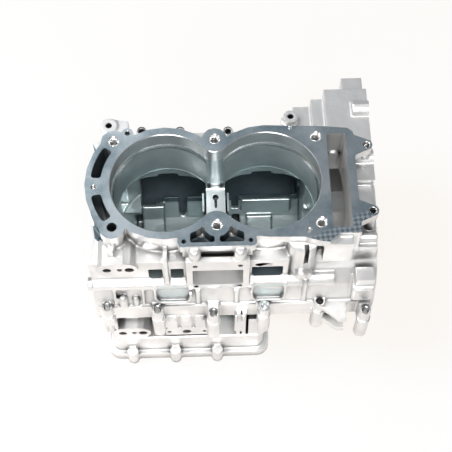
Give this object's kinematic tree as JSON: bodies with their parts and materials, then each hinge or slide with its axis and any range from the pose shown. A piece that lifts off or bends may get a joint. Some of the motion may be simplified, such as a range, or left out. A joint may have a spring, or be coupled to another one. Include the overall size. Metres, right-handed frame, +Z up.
{
  "type": "engine crankcase",
  "caption": "Two-part cast aluminium crankcase of a parallel-twin engine, with cylinder pockets, chain tunnel, coolant slots and a sump flange.",
  "frame": {"origin": "on the crankshaft axis, midway between the two cylinders, at the joint of the two castings", "axes": "+X along the crankshaft towards the timing chain side, +Y away from the intake side, +Z up along the cylinders"},
  "size_m": [0.292, 0.244, 0.235],
  "materials": {
    "cast_aluminium": "bead-blasted die casting with milled joint faces",
    "zinc_steel": "zinc plated",
    "plug_alloy": "turned",
    "dowel_steel": "ground"
  },
  "bodies": {
    "root": {"upper_case": "cast_aluminium", "lower_case": "cast_aluminium", "main_bolt_1": "zinc_steel", "main_bolt_2": "zinc_steel", "main_bolt_3": "zinc_steel", "main_bolt_4": "zinc_steel", "main_bolt_5": "zinc_steel", "main_bolt_6": "zinc_steel", "case_bolt_front": "zinc_steel", "case_bolt_rear": "zinc_steel", "gallery_plug": "plug_alloy", "dowel_pin_left": "dowel_steel", "dowel_pin_right": "dowel_steel"}
  },
  "joints": []
}
